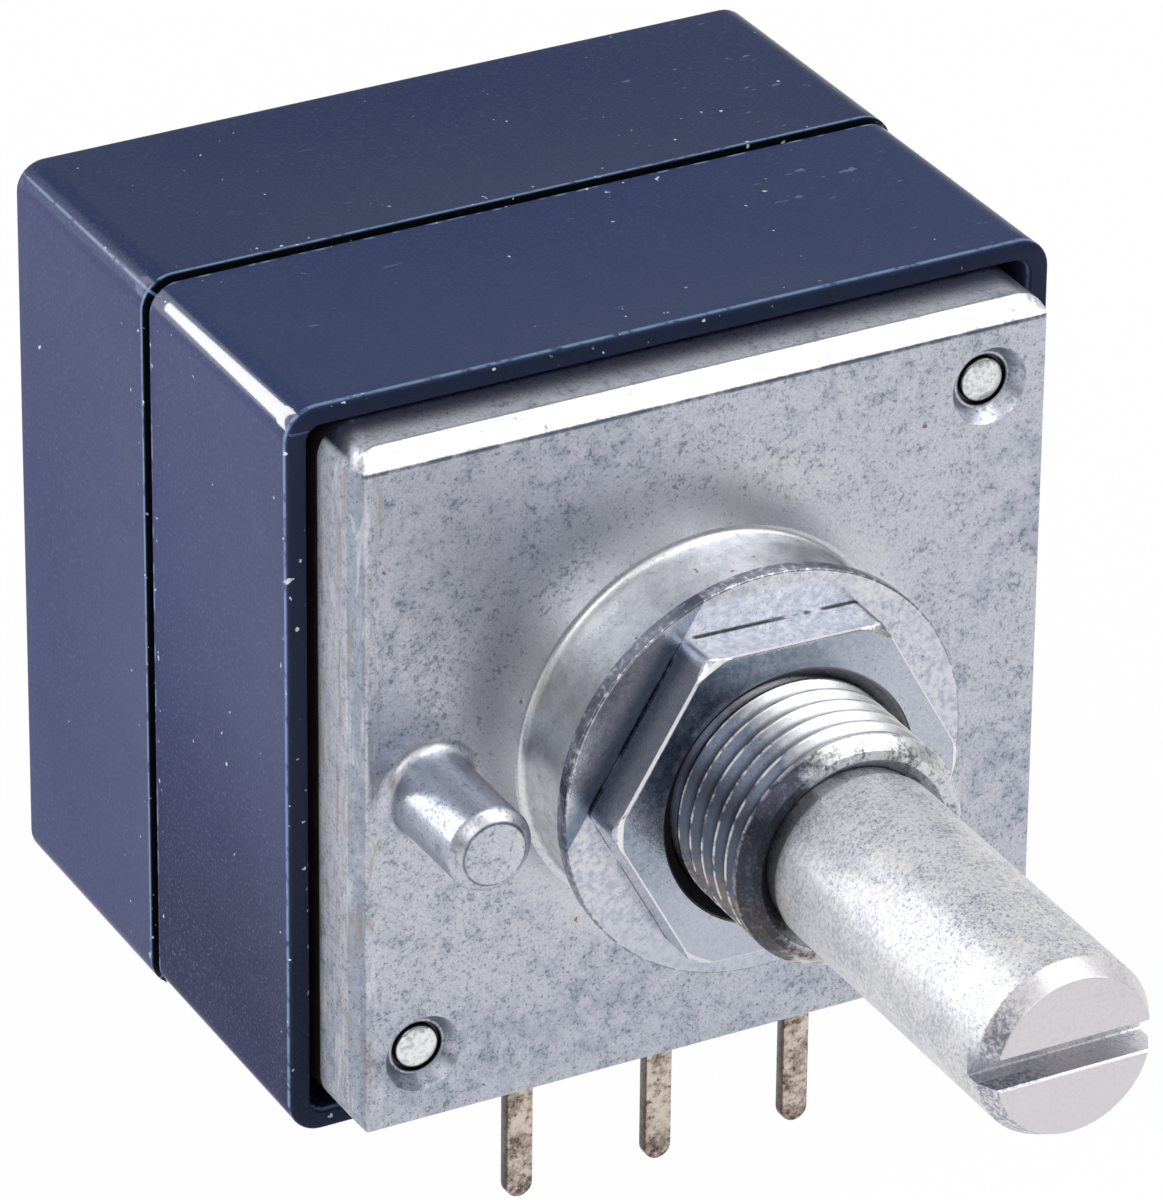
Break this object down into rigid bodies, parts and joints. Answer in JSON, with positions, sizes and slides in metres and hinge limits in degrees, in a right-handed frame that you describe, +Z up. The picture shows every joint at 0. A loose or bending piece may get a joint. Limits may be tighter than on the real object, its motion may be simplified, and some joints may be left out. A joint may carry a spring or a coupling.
{
  "type": "rotary potentiometer",
  "caption": "Ganged rotary potentiometer in a square blue moulded case with a cast front plate, threaded bushing, slotted shaft and pin terminals.",
  "frame": {"origin": "on the shaft's axis, in the plane of the boss's front face that seats behind a panel", "axes": "+Z up, the terminals pointing down; the shaft points to -Y; +X is right seen from the front"},
  "size_m": [0.027, 0.0457, 0.0308],
  "materials": {
    "zinc_casting": "dull, mottled die casting",
    "plated_steel": "bright plated",
    "shaft_metal": "satin, turned",
    "rivet_metal": "bright, peened",
    "blue_moulding": "satin slate blue",
    "black_sheet": "matt",
    "terminal_metal": "tinned, tarnished to brown at the tips",
    "spring_bronze": "satin",
    "clip_steel": "dark",
    "board_laminate": "matt",
    "carbon_film": "matt",
    "silver_film": "satin",
    "rotor_moulding": "satin"
  },
  "bodies": {
    "casing": {"front_plate": "zinc_casting", "mounting_washer": "plated_steel", "mounting_nut": "plated_steel", "friction_washer": "spring_bronze", "front_shell": "blue_moulding", "rear_shell": "blue_moulding", "divider_sheet": "black_sheet", "through_rivets": "rivet_metal", "front_element_board": "board_laminate", "front_resistive_track": "carbon_film", "front_collector_ring": "silver_film", "front_terminal_eyelets": "terminal_metal", "front_terminal_left": "terminal_metal", "front_terminal_middle": "terminal_metal", "front_terminal_right": "terminal_metal", "rear_element_board": "board_laminate", "rear_resistive_track": "carbon_film", "rear_collector_ring": "silver_film", "rear_terminal_eyelets": "terminal_metal", "rear_terminal_left": "terminal_metal", "rear_terminal_middle": "terminal_metal", "rear_terminal_right": "terminal_metal"},
    "shaft": {"control_shaft": "shaft_metal", "retaining_clip": "clip_steel", "front_rotor": "rotor_moulding", "front_wiper": "spring_bronze", "rear_rotor": "rotor_moulding", "rear_wiper": "spring_bronze"}
  },
  "joints": [
    {"name": "shaft_turn", "type": "hinge", "parent": "casing", "child": "shaft", "pos_m": [0, 0, 0], "axis": [0, 1, 0], "range_deg": [-150, 150]}
  ]
}
